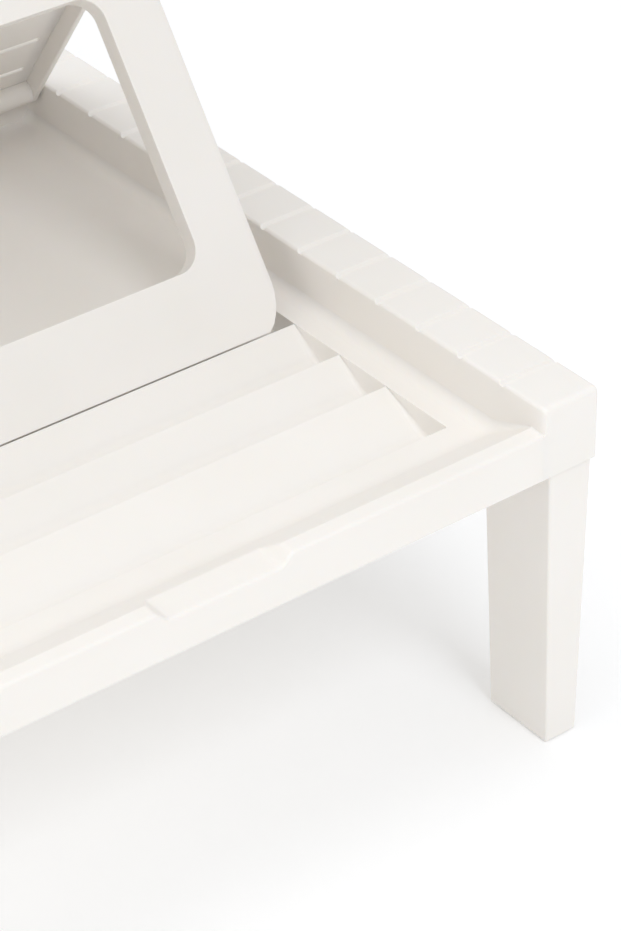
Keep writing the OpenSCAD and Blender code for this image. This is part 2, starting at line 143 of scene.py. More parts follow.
def rounded_path(corners, radii, steps=5):
    """A polyline through corners, each turned into an arc that touches both sides.

    At a corner with half angle h, the arc of radius r starts r / tan(h) back along each side.
    Radius 0 keeps the corner.
    """
    corners = np.asarray(corners, float)
    out = [corners[:1]]
    for before, corner, after, r in zip(corners, corners[1:], corners[2:], radii[1:-1]):
        a = (before - corner) / np.linalg.norm(before - corner)
        b = (after - corner) / np.linalg.norm(after - corner)
        half = math.acos(np.clip(a @ b, -1, 1)) / 2
        if r == 0 or half > 89 * RAD:
            out.append(corner[None])
            continue
        middle = (a + b) / np.linalg.norm(a + b)
        centre = corner + middle * r / math.sin(half)
        start = corner + a * r / math.tan(half) - centre
        end = corner + b * r / math.tan(half) - centre
        turn = math.acos(np.clip(start @ end / (r * r), -1, 1))
        t = np.linspace(0, 1, steps + 1)[:, None]
        arc = (np.sin((1 - t) * turn) * start + np.sin(t * turn) * end) / math.sin(turn)
        out.append(centre + arc)
    out.append(corners[-1:])
    return np.concatenate(out)


def grid_quads(rows, columns, close_columns=False):
    """Corner numbers of the quads of a grid of points stored row by row."""
    i = np.arange(rows - 1)[:, None]
    j = np.arange(columns if close_columns else columns - 1)[None]
    right = (j + 1) % columns
    quads = np.stack([
        i * columns + j,
        i * columns + right,
        (i + 1) * columns + right,
        (i + 1) * columns + j,
    ], -1)
    return quads.reshape(-1, 4)


def closed_sheet(upper, under):
    """Closed skin between two grids of points: both faces and a strip round their edge."""
    rows, columns = upper.shape[:2]
    index = np.arange(rows * columns).reshape(rows, columns)
    edge = np.concatenate([index[0], index[1:, -1], index[-1, -2::-1], index[-2:0:-1, 0]])
    after = np.roll(edge, -1)
    strip = np.stack([edge, after, after + index.size, edge + index.size], -1)
    quads = grid_quads(rows, columns)
    return np.stack([upper, under]), np.concatenate([quads, quads + index.size, strip])


def join_parts(parts):
    """One list of points and one of faces from several (points, faces)."""
    points, faces, start = [], [], 0
    for p, f in parts:
        points.append(np.asarray(p, float).reshape(-1, 3))
        faces += [[start + int(n) for n in face] for face in f]
        start += len(points[-1])
    return np.concatenate(points), faces


def make_piece(name, parts, material, body, replaced, wall=0):
    """Mesh object from parts, in metres, riding on a body and standing for CAD nodes."""
    points, faces = join_parts(parts)
    mesh = bpy.data.meshes.new(name)
    mesh.from_pydata((points * MM).tolist(), [], faces)
    tidy_mesh(mesh)
    mesh.materials.append(material)
    mesh.shade_smooth()
    mesh.set_sharp_from_angle(angle=SHARP)
    piece = bpy.data.objects.new(name, mesh)
    bpy.context.scene.collection.objects.link(piece)
    if wall:
        solid = piece.modifiers.new("wall", "SOLIDIFY")
        solid.thickness = wall * MM
        solid.offset = -1
    piece.modifiers.new("flat_faces", "WEIGHTED_NORMAL").keep_sharp = True
    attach(piece, body)
    if replaced:
        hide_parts(*replaced)
    return piece


def tidy_mesh(mesh):
    """Merges doubled points, drops flat slivers and turns every face outwards."""
    work = bmesh.new()
    work.from_mesh(mesh)
    bmesh.ops.remove_doubles(work, verts=work.verts, dist=0.00002)
    bmesh.ops.dissolve_degenerate(work, edges=work.edges, dist=0.00001)
    bmesh.ops.recalc_face_normals(work, faces=work.faces)
    work.to_mesh(mesh)
    work.free()


def rounded_block(low, high, r=1.5, steps=3, warp=None):
    """Block with rounded edges: a sphere of radius r cut in eight and pulled to the corners.

    A direction n on the sphere gives the point (half size - r) * sign(n) + r * n. The sphere is
    a grid of longitude and latitude whose quarters repeat their seams, so flats open between.
    """
    low, high = np.asarray(low, float), np.asarray(high, float)
    turn = np.linspace(0, 90, steps + 1)
    longitude = np.concatenate([q * 90 + turn for q in range(4)]) * RAD
    side = np.concatenate([np.full(steps + 1, q) for q in range(4)])
    latitude = np.concatenate([turn - 90, turn]) * RAD
    upper = np.repeat([-1, 1], steps + 1)
    sign_x = np.array([1, -1, -1, 1])[side]
    sign_y = np.array([1, 1, -1, -1])[side]
    lat, lon = np.meshgrid(latitude, longitude, indexing="ij")
    n = np.stack([np.cos(lat) * np.cos(lon), np.cos(lat) * np.sin(lon), np.sin(lat)], -1)
    sign = np.stack(np.broadcast_arrays(sign_x[None], sign_y[None], upper[:, None]), -1)
    half = (high - low) / 2
    r = min(r, half.min() * 0.98)
    points = (low + high) / 2 + sign * (half - r) + n * r
    rows, columns = lat.shape
    quads = grid_quads(rows, columns, close_columns=True)
    cap = np.arange(4) * (steps + 1)
    caps = np.array([cap[::-1], cap + (rows - 1) * columns])
    points = points.reshape(-1, 3)
    if warp is not None:
        points = warp(points)
    return points, np.concatenate([quads, caps])


def flipped(parts, axis):
    """The same parts mirrored across the plane where that axis is 0."""
    out = []
    for points, faces in parts:
        points = np.array(points, float)
        points[..., axis] *= -1
        out.append((points, faces))
    return out


def turned(parts, angle, x, z):
    """Parts turned about a crosswise axis through x, z; a positive angle lifts the +X end."""
    c, s = math.cos(angle * RAD), math.sin(angle * RAD)
    out = []
    for points, faces in parts:
        points = np.array(points, float)
        dx, dz = points[..., 0] - x, points[..., 2] - z
        points[..., 0] = x + c * dx - s * dz
        points[..., 2] = z + s * dx + c * dz
        out.append((points, faces))
    return out


# ---------------------------------------------------------------- materials


def linear(hex_colour):
    """An sRGB hex colour as the linear colour that a shader takes."""
    srgb = np.array([int(hex_colour[i : i + 2], 16) for i in (1, 3, 5)]) / 255
    low = srgb / 12.92
    high = ((srgb + 0.055) / 1.055) ** 2.4
    return (*np.where(srgb <= 0.04045, low, high).tolist(), 1.0)


def add_node(tree, kind, settings=None, links=None):
    """A node with its settings, and links given as {its input: (other node, output)}."""
    new = tree.nodes.new(kind)
    for key, value in (settings or {}).items():
        if isinstance(key, str) and hasattr(new, key):
            setattr(new, key, value)
        else:
            new.inputs[key].default_value = value
    for key, (other, output) in (links or {}).items():
        tree.links.new(other.outputs[output], new.inputs[key])
    return new


def start_material(name):
    """An empty node tree with its output and Object coordinates."""
    material = bpy.data.materials.new(name)
    material.use_nodes = True
    tree = material.node_tree
    tree.nodes.clear()
    place = add_node(tree, "ShaderNodeTexCoord")
    return material, tree, place


def ramp(tree, source, output, stops):
    """Colour ramp whose stops are (position, hex colour)."""
    new = add_node(tree, "ShaderNodeValToRGB", links={"Fac": (source, output)})
    elements = new.color_ramp.elements
    while len(elements) < len(stops):
        elements.new(0.5)
    for element, (position, colour) in zip(elements, stops):
        element.position = position
        element.color = linear(colour)
    return new


def moulded_polypropylene(name, pale, deep):
    """White polypropylene from a spark-eroded mould.

    The eye sees a soft satin white: a fine grain that scatters the highlight, faint cloudy
    flow marks a hand's width across, and a little light that goes in and comes back warm.
    """
    material, tree, place = start_material(name)
    flow = add_node(tree, "ShaderNodeTexNoise",
                    {"Scale": 9.0, "Detail": 3.0, "Roughness": 0.5}, {"Vector": (place, "Object")})
    tint = ramp(tree, flow, "Fac", [(0.3, deep), (0.7, pale)])
    # Mould grain is about 0.15 mm; it is drawn at 0.6 mm, so that it still shows
    grain = add_node(tree, "ShaderNodeTexNoise",
                     {"Scale": 1600.0, "Detail": 2.0, "Roughness": 0.6}, {"Vector": (place, "Object")})
    # Slow waves of the wall as it cooled, about 40 mm long and a few hundredths deep
    sink = add_node(tree, "ShaderNodeTexNoise",
                    {"Scale": 25.0, "Detail": 1.0}, {"Vector": (place, "Object")})
    gloss = add_node(tree, "ShaderNodeMapRange",
                     {"From Min": 0.3, "From Max": 0.7, "To Min": 0.42, "To Max": 0.52},
                     {"Value": (flow, "Fac")})
    wave = add_node(tree, "ShaderNodeBump", {"Strength": 0.12, "Distance": 0.0004},
                    {"Height": (sink, "Fac")})
    skin = add_node(tree, "ShaderNodeBump", {"Strength": 0.10, "Distance": 0.00012},
                    {"Height": (grain, "Fac"), "Normal": (wave, "Normal")})
    shader = add_node(tree, "ShaderNodeBsdfPrincipled", {
        "IOR": 1.49,
        "Subsurface Weight": 0.12,
        "Subsurface Radius": (0.004, 0.003, 0.002),
        "Subsurface Scale": 1.0,
    }, {"Base Color": (tint, "Color"), "Roughness": (gloss, "Result"), "Normal": (skin, "Normal")})
    add_node(tree, "ShaderNodeOutputMaterial", links={"Surface": (shader, "BSDF")})
    return material


def stainless_steel(name):
    """Cold-drawn stainless steel pins: fine lines round the shank and a soft metal sheen."""
    material, tree, place = start_material(name)
    stretch = add_node(tree, "ShaderNodeMapping", {"Scale": (60.0, 2500.0, 60.0)},
                       {"Vector": (place, "Object")})
    lines = add_node(tree, "ShaderNodeTexNoise", {"Scale": 1.0, "Detail": 2.0},
                     {"Vector": (stretch, "Vector")})
    tint = ramp(tree, lines, "Fac", [(0.3, "#A7AAAC"), (0.7, "#C6C9CB")])
    gloss = add_node(tree, "ShaderNodeMapRange", {"To Min": 0.24, "To Max": 0.4},
                     {"Value": (lines, "Fac")})
    bump = add_node(tree, "ShaderNodeBump", {"Strength": 0.2, "Distance": 0.00005},
                    {"Height": (lines, "Fac")})
    shader = add_node(tree, "ShaderNodeBsdfPrincipled", {"Metallic": 1.0}, {
        "Base Color": (tint, "Color"), "Roughness": (gloss, "Result"), "Normal": (bump, "Normal")})
    add_node(tree, "ShaderNodeOutputMaterial", links={"Surface": (shader, "BSDF")})
    return material


def moulded_rubber(name):
    """Moulded EPDM rubber: almost black, dull, with a pebbled skin that greys where it rubs."""
    material, tree, place = start_material(name)
    pebble = add_node(tree, "ShaderNodeTexNoise", {"Scale": 900.0, "Detail": 3.0},
                      {"Vector": (place, "Object")})
    tint = ramp(tree, pebble, "Fac", [(0.35, "#232323"), (0.7, "#3A3938")])
    bump = add_node(tree, "ShaderNodeBump", {"Strength": 0.4, "Distance": 0.0002},
                    {"Height": (pebble, "Fac")})
    shader = add_node(tree, "ShaderNodeBsdfPrincipled", {"Roughness": 0.8, "IOR": 1.52}, {
        "Base Color": (tint, "Color"), "Normal": (bump, "Normal")})
    add_node(tree, "ShaderNodeOutputMaterial", links={"Surface": (shader, "BSDF")})
    return material


white = moulded_polypropylene("moulded_polypropylene", "#F3EFEA", "#F1EDE7")
steel = stainless_steel("stainless_steel")
rubber = moulded_rubber("moulded_rubber")

# ---------------------------------------------------------------- side rails

groove_total = int((2 * half_length - 2 * END_BLOCK) / GROOVE_PITCH + 0.5) + 1
groove_x = half_length - END_BLOCK - GROOVE_PITCH * np.arange(groove_total)


def groove_drop(x):
    """How far the top dips at x: full depth within the floor, easing out to the mouth."""
    away = np.abs(x[..., None] - groove_x).min(-1)
    return GROOVE_DEPTH * (1 - smoothstep((away - GROOVE_FLOOR) / (GROOVE_MOUTH - GROOVE_FLOOR)))


def quarter(distance, length, depth=None):
    """How far a surface falls back at a distance from an edge: a quarter ellipse.

    It is depth less depth times the root of 1 - t squared, where t goes from 1 at the edge
    to 0 a length away. Without a depth it is a circle.
    """
    t = np.clip(1 - distance / length, 0, 1)
    return (depth or length) * (1 - np.sqrt(1 - t * t))


def rail_stations(end_round):
    """Stations along a rail: close together over each end round and each groove."""
    turn = 1 - np.cos(np.linspace(0, 90, 9) * RAD)
    turn = np.concatenate([end_round * turn, END_EDGE * turn])
    near_groove = np.array([0, 1.0, 1.5, 2.0, 2.5, 3.0, 3.5, 4.0, 4.5])
    grooves = (groove_x[:, None, None] + near_groove[None, :, None] * np.array([-1, 1])).ravel()
    stations = np.concatenate([grooves, half_length - turn, turn - half_length])
    return np.unique(np.round(stations, 3))[::-1]


def side_rail(end_round=9, end_depth=3.5, edge=3):
    """Side rail: an upside-down U carried along its length, with both ends closed.

    The U runs up the inner face, over the top and down the outer face, and its points move
    with the station. The top dips at the grooves and rounds down at both ends, the outer face
    draws in over a small round, and above the lip the inner face curves away to the head end
    along a quarter ellipse.
    """
    lip = deck_top - LIP_DROP
    path = rounded_path(
        [[inner_y, rail_foot], [inner_y, lip - 0.3], [inner_y, lip], [inner_y, deck_top],
         [half_width, deck_top], [half_width, rail_foot]],
        [0, 0, 0, edge, edge, 0], 6)
    y, z = path.T
    x = rail_stations(end_round)
    left = half_length - np.abs(x)
    share = np.clip((half_width - y) / (half_width - inner_y), 0, 1)
    inward = quarter(left, end_round, end_depth)[:, None] * (x > 0)[:, None] * (z > lip - 0.1)
    outward = quarter(left, edge)[:, None]
    y_all = y + inward * share - outward * (1 - share)
    fall = quarter(left, END_EDGE)[:, None] * (z > deck_top - edge - 0.1)
    z_all = np.minimum(z - fall, (deck_top - groove_drop(x))[:, None])
    points = np.stack(np.broadcast_arrays(x[:, None], y_all, z_all), -1)
    rows, columns = points.shape[:2]
    ring = np.arange(columns)
    caps = [ring[::-1].tolist(), (ring + (rows - 1) * columns).tolist()]
    return [(points, grid_quads(rows, columns).tolist() + caps)]


# ---------------------------------------------------------------- head rail, ledges and rack


def head_profile():
    """X-Z outline of the head tray's upper skin, from the end face's foot to the deck.

    The lip's flat top falls along a straight slope and a hollow round to the tray. Each notch
    is a step that drops just behind its edge, a rounded bottom and a ramp up to the next edge.
    The step leans by the draft that lets the moulding leave its tool.
    """
    lip, bottom, draft = deck_top - LIP_DROP, tray_top - NOTCH_DEPTH, 0.5
    fall = math.tan(LIP_SLOPE * RAD)
    reach = RECESS[2] / fall * np.array([0.12, 0.3, 0.5, 0.7, 0.88, 1, 1.15])
    corners = [[half_length - 0.03, rail_foot], [half_length - 0.03, lip], [from_head(LIP_BAND), lip]]
    corners += [[from_head(LIP_BAND + run), lip - run * fall] for run in reach]
    corners.append([from_head(LIP_BAND + (lip - tray_top) / fall), tray_top])
    radii = [0, 3, 0.6] + [0] * len(reach) + [LIP_HOLLOW]
    for edge, behind, slope in zip(RACK_EDGES, RACK_EDGES[1:], RACK_SLOPES):
        run = NOTCH_DEPTH / math.tan(slope * RAD)
        corners += [[from_head(edge), tray_top], [from_head(edge + draft), bottom],
                    [from_head(behind) + run, bottom]]
        radii += NOTCH_RADII
    corners += [[from_head(RACK_EDGES[-1]), tray_top], [tray_low[0], tray_top]]
    radii += [2, 0]
    return rounded_path(corners, radii, 7)


def head_tray(wall_fillet=5, edge_round=0.3, fillet=11, lip_fillet=2, inset=0.15, margin=5):
    """Head rail, ledges, floor and rack as one skin: the X-Z outline carried across the width.

    A point keeps its place along the outline and is lifted or lowered by where it is across:
    inside the rack the full outline shows, on the ledges whatever is lower rises to ledge
    level, the rack's side wall joins the two by a round, a drop and a fillet scaled to the
    depth there, and a fillet climbs the side rail. The finger recess lowers the lip's top and
    planes off its inner slope.
    """
    x, z = head_profile().T
    lip = deck_top - LIP_DROP
    lip_foot = from_head(RACK_EDGES[0]) + 1
    depth = np.clip(tray_top - z, 0, None) * (x < lip_foot)
    end_y = inner_y + inset
    arc = np.linspace(0, 90, 6) * RAD
    # Across the flat middle points crowd over the recess's side
    flat = np.concatenate([
        [0, 24], np.linspace(44, 62, 13), [100, 160, 215], rack_y - np.array([30, 12, 7]),
    ])
    outer = np.concatenate([
        [rack_y + 4, inner_y - 14], end_y - fillet + fillet * np.sin(np.linspace(0, 90, 11) * RAD),
    ])
    # Columns: the flat middle, the wall's foot fillet, its top round, the ledge and its fillet.
    # The wall leans by its draft, and neighbouring points stay apart where a round closes up
    wall_draft, apart = 0.6, 0.02
    scale = np.clip(depth / (wall_fillet + edge_round), 0, 1)[:, None]
    foot_r, top_r = wall_fillet * scale, edge_round * scale
    spread = apart * np.arange(6)
    whole = np.ones((len(x), 1))
    y_half = np.concatenate([
        whole * flat,
        rack_y - wall_draft - foot_r + foot_r * np.sin(arc) + spread,
        rack_y + top_r - top_r * np.cos(arc) + spread,
        whole * outer,
        end_y + margin * (x > from_head(LIP_BAND))[:, None],
    ], 1)
    drop = np.concatenate([
        depth[:, None] * np.ones(len(flat)),
        depth[:, None] - foot_r + foot_r * np.cos(arc),
        top_r - top_r * np.sin(arc),
        whole * np.zeros(len(outer) + 1),
    ], 1)
    z_half = z[:, None] + depth[:, None] - drop
    # The fillet on the side rail: full size at ledge level, small at the lip, none at the end
    on_lip = np.clip((z - tray_top) / (lip - tray_top), 0, 1) * (x > lip_foot)
    r = (fillet + (lip_fillet - fillet) * on_lip) * np.clip((half_length - 2 - x) / 8, 0.01, 1)
    near = np.clip((y_half - end_y) / r[:, None] + 1, 0, 1)
    z_half = z_half + r[:, None] * (1 - np.sqrt(1 - near * near))
    # The finger recess: the lip's top and outer round move down, its inner slope is cut level
    width, slope, deep = RECESS
    side_run = 13
    sunk = deep * (1 - smoothstep((y_half - (width - slope) / 2 + side_run / 2) / side_run))
    on_top = ((x >= from_head(LIP_BAND) - 0.5) & (z > rail_foot + 1))[:, None]
    z_half = np.where(on_top, z_half - sunk, np.minimum(z_half, lip - sunk))
    right = np.stack([whole * x[:, None] + 0 * y_half, y_half, z_half], -1)
    left = right[:, :0:-1] * np.array([1, -1, 1])
    points = np.concatenate([left, right], 1)
    # The underside lies one wall lower, drawn in behind the end face
    under = points.copy()
    under[..., 0] -= WALL * np.clip((points[..., 0] - half_length) / END_EDGE / 2 + 1, 0, 1)
    under[..., 2] -= WALL * np.clip((points[..., 2] - rail_foot) / WALL / 2, 0, 1)
    return [closed_sheet(points, under)]


# ---------------------------------------------------------------- planked faces


def planks(near, far, y_edge):
    """Crosswise planks between two distances from the head end, one between every two grooves."""
    cuts = END_BLOCK + GROOVE_PITCH * np.arange(groove_total)
    inside = cuts[(cuts > near + PLANK_GAP) & (cuts < far - PLANK_GAP)]
    starts = np.append(near, inside + PLANK_GAP / 2)
    stops = np.append(inside - PLANK_GAP / 2, far)
    return [
        rounded_block([from_head(stop), -y_edge, deck_top - SKIN],
                      [from_head(start), y_edge, deck_top], 1.6, 4)
        for start, stop in zip(starts, stops)
    ]


def web_strips(near, far, y_edge, land=12):
    """Strips that close the grooves beside each rib and edge, so that drain slots stay between."""
    spans = [(y - land, y + land) for y in RIB_Y]
    spans += [(-y_edge, land - y_edge), (y_edge - land, y_edge)]
    return [
        rounded_block([from_head(far), y_low, deck_top - SKIN + 0.2],
                      [from_head(near), y_high, deck_top - GROOVE_DEPTH], 0.5, 2)
        for y_low, y_high in spans
    ]


def long_ribs(near, far, depth, rib=3.5):
    """Ribs along a deck, under its skin."""
    return [
        rounded_block([from_head(far), y - rib / 2, deck_top - depth],
                      [from_head(near), y + rib / 2, deck_top - SKIN + 1], 0.8, 2)
        for y in RIB_Y
    ]


def seat_deck():
    """Seat deck: planks over ribs, cross ribs and the wall that closes it by the hinge."""
    near, far = half_length - deck_high[0], half_length - deck_low[0]
    reach = inner_y + 1
    parts = planks(near, far - PLANK_GAP / 2, reach) + web_strips(near + 1, far, inner_y)
    parts += long_ribs(near + 1, far, RIB_DEPTH)
    parts.append(rounded_block([deck_high[0] - WALL, -reach, deck_low[2]],
                               [deck_high[0], reach, deck_top - 0.4], 1.5, 3))
    for d in np.arange(near + 4.5 * GROOVE_PITCH, far, 5 * GROOVE_PITCH):
        parts.append(rounded_block([from_head(d) - 1.75, -reach, deck_top - RIB_DEPTH],
                                   [from_head(d) + 1.75, reach, deck_top - SKIN + 1], 0.8, 2))
    return parts


def lathe(profile, centre, axis):
    """Turned piece: points (along, radius) of a profile spun about a line along X or Y."""
    along, radius = np.asarray(profile, float).T
    angle = np.linspace(0, 360, 49)[:-1] * RAD
    first, second = radius[:, None] * np.cos(angle), radius[:, None] * np.sin(angle)
    middle = np.broadcast_to(along[:, None], first.shape)
    order = {"y": (first, middle, second), "x": (middle, first, second)}[axis]
    points = np.stack(order, -1) + np.asarray(centre, float)
    rows, columns = first.shape
    quads = grid_quads(rows, columns, close_columns=True).tolist()
    ring = np.arange(columns)
    caps = [ring.tolist(), (ring + (rows - 1) * columns).tolist()]
    return points.reshape(-1, 3), quads + caps


def bar_profile(start, end, r, edge=1.0):
    """Profile of a round bar whose two ends are drawn in by a quarter round."""
    turn = np.linspace(0, 90, 5) * RAD
    inset = edge * (1 - np.sin(turn))
    radius = r - edge * (1 - np.cos(turn))
    ends = [np.stack([start + inset[::-1], radius[::-1]], -1), np.stack([end - inset, radius], -1)]
    return np.concatenate(ends)


def slab(outline, y_low, y_high, edge=1.5, steps=3):
    """A convex X-Z outline carried along Y, its two faces inset along a quarter round."""
    outline = np.asarray(outline, float)
    after = np.roll(outline, -1, 0) - outline
    before = outline - np.roll(outline, 1, 0)
    tangent = after / np.linalg.norm(after, axis=1)[:, None]
    tangent = tangent + before / np.linalg.norm(before, axis=1)[:, None]
    normal = np.stack([tangent[:, 1], -tangent[:, 0]], -1)
    normal /= np.linalg.norm(normal, axis=1)[:, None]
    centre = outline.mean(0)
    normal *= np.sign(((outline - centre) * normal).sum(1))[:, None]
    turn = np.linspace(0, 90, steps + 1) * RAD
    inset = edge * (1 - np.sin(turn))
    depth = edge * (1 - np.cos(turn))
    y = np.concatenate([y_low + depth, y_high - depth[::-1]])
    shift = np.concatenate([inset, inset[::-1]])
    ring = outline[None] - normal[None] * shift[:, None, None]
    points = np.stack([ring[..., 0], np.broadcast_to(y[:, None], ring.shape[:2]), ring[..., 1]], -1)
    rows, columns = points.shape[:2]
    quads = grid_quads(rows, columns, close_columns=True).tolist()
    loop = np.arange(columns)
    return points.reshape(-1, 3), quads + [loop.tolist(), (loop + (rows - 1) * columns).tolist()]


# ---------------------------------------------------------------- backrest

pivot_reach = math.hypot(pivot_x - hinge_x, pivot_z - hinge_z)
pivot_turn = math.atan2(pivot_z - hinge_z, pivot_x - hinge_x) - recline * RAD
flat_pivot_x = hinge_x + pivot_reach * math.cos(pivot_turn)
flat_pivot_z = hinge_z + pivot_reach * math.sin(pivot_turn)


def prop_lug(lug_r=11, gap=4, thick=12):
    """Lug for a prop pin: a round eye hung from the face by two straight sides."""
    turn = np.linspace(180, 360, 17) * RAD
    eye = np.stack([flat_pivot_x + lug_r * np.cos(turn), flat_pivot_z + lug_r * np.sin(turn)], -1)
    root = [[flat_pivot_x + lug_r, deck_top - SKIN / 2], [flat_pivot_x - lug_r, deck_top - SKIN / 2]]
    return slab(np.concatenate([eye, root]), prop_y + gap, prop_y + gap + thick)


def backrest():
    """Backrest, made flat and then raised: planks, rim, ribs, hinge barrel and prop lugs."""
    near = half_length - flat_head_x
    far = half_length - hinge_x
    rim, rim_depth = 6, 21
    rib_depth = 17
    rib_near = half_length - (flat_pivot_x + prop_length - PROP_FOOT_BAR - PROP_THICK)
    parts = planks(near, far, back_y)
    parts += web_strips(near + 1, far, back_y - rim) + long_ribs(rib_near, far, rib_depth)
    parts.append(rounded_block([flat_head_x - rim, -back_y, deck_top - rim_depth],
                               [flat_head_x, back_y, deck_top - 0.6], 2, 4))
    rim_bar = rounded_block([hinge_x, back_y - rim, deck_top - rim_depth],
                            [flat_head_x, back_y, deck_top - GROOVE_DEPTH], 1.5, 3)
    paired = [rim_bar, prop_lug()]
    parts += paired + flipped(paired, 1)
    parts.append(lathe(bar_profile(-back_y, back_y, BARREL_R, 1.5), [hinge_x, 0, hinge_z], "y"))
    return turned(parts, recline, hinge_x, hinge_z)


# ---------------------------------------------------------------- prop frame


def corner_loop(u_low, u_high, v_half, radii, inset):
    """Rounded rectangle in the prop's plane, drawn in by inset: four arcs of ten points.

    Each corner's arc keeps its centre, a radius in from both sides, and loses inset from its
    radius, so that the straight sides between arcs move in by the same amount.
    """
    radii = np.asarray(radii, float)
    sign_u, sign_v = np.array([1, -1, -1, 1]), np.array([1, 1, -1, -1])
    centre_u = np.where(sign_u > 0, u_high - radii, u_low + radii)
    centre_v = sign_v * (v_half - radii)
    turn = (np.arange(4)[:, None] * 90 + np.linspace(0, 90, 10)) * RAD
    r = (radii - inset)[:, None]
    u, v = centre_u[:, None] + r * np.cos(turn), centre_v[:, None] + r * np.sin(turn)
    return np.stack([u.ravel(), v.ravel()], -1)


def prop_ring(edge=0.7):
    """Prop frame: a flat ring whose section runs round it between its two outlines.

    The section goes over the front face from the opening to the outside, round the outer edge,
    back over the rear face and round the opening's edge. The pivot end's thickness follows a
    circle about the pins, and the foot is cut to stand flat on the tray when it is raised.
    """
    half = PROP_THICK / 2
    foot_round, cut = PROP_ROUND

    def outer(inset):
        loop = corner_loop(-half, prop_length + cut, prop_y, [foot_round, 4, 4, foot_round], inset)
        return np.minimum(loop, [prop_length - inset, prop_y])

    def inner(inset):
        return corner_loop(PROP_PIVOT_BAR, prop_length - PROP_FOOT_BAR, prop_y - PROP_SIDE_BAR,
                           [PROP_OPENING_R] * 4, -inset)

    turn = np.linspace(0, 90, 5) * RAD
    inset = edge * (1 - np.sin(turn))
    level = half - edge * (1 - np.cos(turn))
    share = np.array([0.3, 0.6, 0.8, 0.84, 0.88, 0.91, 0.94, 0.97])
    face = [inner(edge) * (1 - t) + outer(edge) * t for t in share]
    rings = face + [outer(d) for d in (*inset, *inset[::-1])]
    rings += face[::-1] + [inner(d) for d in (*inset, *inset[::-1])]
    heights = [*np.full(len(share), half), *level, *-level[::-1]]
    heights += [*np.full(len(share), -half), *-level, *level[::-1]]
    rings = np.array(rings)
    u, v = rings[..., 0], rings[..., 1]
    w = np.broadcast_to(np.array(heights)[:, None], u.shape)
    w = w * np.sqrt(np.clip(1 - (np.clip(-u, 0, half * 0.995) / half) ** 2, 0, 1))
    # The foot's bevel is taken up over a run that starts clear of the opening
    bevel = PROP_THICK / math.tan(PROP_ANGLE * RAD)
    run_start, run = prop_length - 45, 30
    pulled = np.clip((u - run_start) / run, 0, 1)
    u = u - bevel * (half - w) / PROP_THICK * pulled
    c, s = math.cos(PROP_ANGLE * RAD), math.sin(PROP_ANGLE * RAD)
    points = np.stack([pivot_x + u * c + w * s, v, pivot_z - u * s + w * c], -1)
    rows, columns = u.shape
    points = np.concatenate([points, points[:1]])
    return [(points, grid_quads(rows + 1, columns, close_columns=True))]


# ---------------------------------------------------------------- legs, foot rail and rail ribs

LEG_TOP = (77.5, 40.8)
LEG_FOOT = (69, 30.5)
LEG_INSET = 3
LEG_TAPER = (1.2, 6.6)
GLIDE_PROUD = 1


def leg():
    """Leg at the head end on the right: a rounded block that narrows evenly to its foot."""
    height = rail_foot - GLIDE_PROUD
    corner = np.array([half_length - LEG_INSET, half_width - LEG_INSET])

    def narrowed(points):
        points = np.array(points)
        down = ((rail_foot - points[:, 2]) / height).clip(0, 1)[:, None]
        size = (1 - down) * np.array(LEG_TOP) + down * np.array(LEG_FOOT)
        share = (corner - points[:, :2]) / np.array(LEG_TOP)
        points[:, :2] = corner - down * np.array(LEG_TAPER) - share * size
        return points

    shank = rounded_block([corner[0] - LEG_TOP[0], corner[1] - LEG_TOP[1], GLIDE_PROUD],
                          [corner[0], corner[1], rail_foot + 2], 2.2, 4, warp=narrowed)
    tenon = rounded_block([leg_low[0] + 0.2, leg_low[1] + 0.2, rail_foot + 1],
                          [half_length - 4.4, half_width - 4.4, leg_high[2]], 1.5, 3)
    return [shank, tenon]


def foot_rail():
    """Foot rail: a flat-topped channel whose outline is carried across between the side rails."""
    low, high = foot_rail_low, foot_rail_high
    path = rounded_path(
        [[low[0] + 0.03, low[2]], [low[0] + 0.03, deck_top], [high[0] - 2.5, deck_top],
         [high[0] - 2.5, deck_top - GROOVE_DEPTH], [high[0], deck_top - GROOVE_DEPTH], [high[0], low[2]]],
        [0, END_EDGE, 1.2, 0.5, 0.5, 0], 6)
    y = np.linspace(-1, 1, 9) * (inner_y + 3)
    points = np.stack([
        np.broadcast_to(path[:, 0], (len(y), len(path))),
        np.broadcast_to(y[:, None], (len(y), len(path))),
        np.broadcast_to(path[:, 1], (len(y), len(path))),
    ], -1)
    return [(points, grid_quads(*points.shape[:2]))]


def rail_ribs():
    """Ribs inside a side rail, the walls of its leg sockets and the boss of the hinge pin."""
    low_y, high_y = inner_y + WALL - 1, half_width - WALL + 1
    socket = LEG_INSET + LEG_TOP[0] + WALL
    bay = (2 * half_length - 2 * socket) / 8
    parts = [
        rounded_block([from_head(d) - 2, low_y, deck_top - 40],
                      [from_head(d) + 2, high_y, deck_top - SKIN], 1, 2)
        for d in socket + bay * np.arange(9)
    ]
    boss = 13
    parts.append(rounded_block([hinge_x - boss, low_y, hinge_z - boss],
                               [hinge_x + boss, high_y, deck_top - SKIN], 2, 3))
    return parts


def glide():
    """Rubber glide let into a leg's foot: a soft-edged pad."""
    low, high = node_box("glide_head_right")
    return [rounded_block(low, high, 0.9, 3)]


def hinge_pin():
    """Hinge pin: a plain bar with turned ends."""
    low, high = node_box("hinge_pin_right")
    return [lathe(bar_profile(low[1], high[1], 5, 0.8), [hinge_x, 0, hinge_z], "y")]


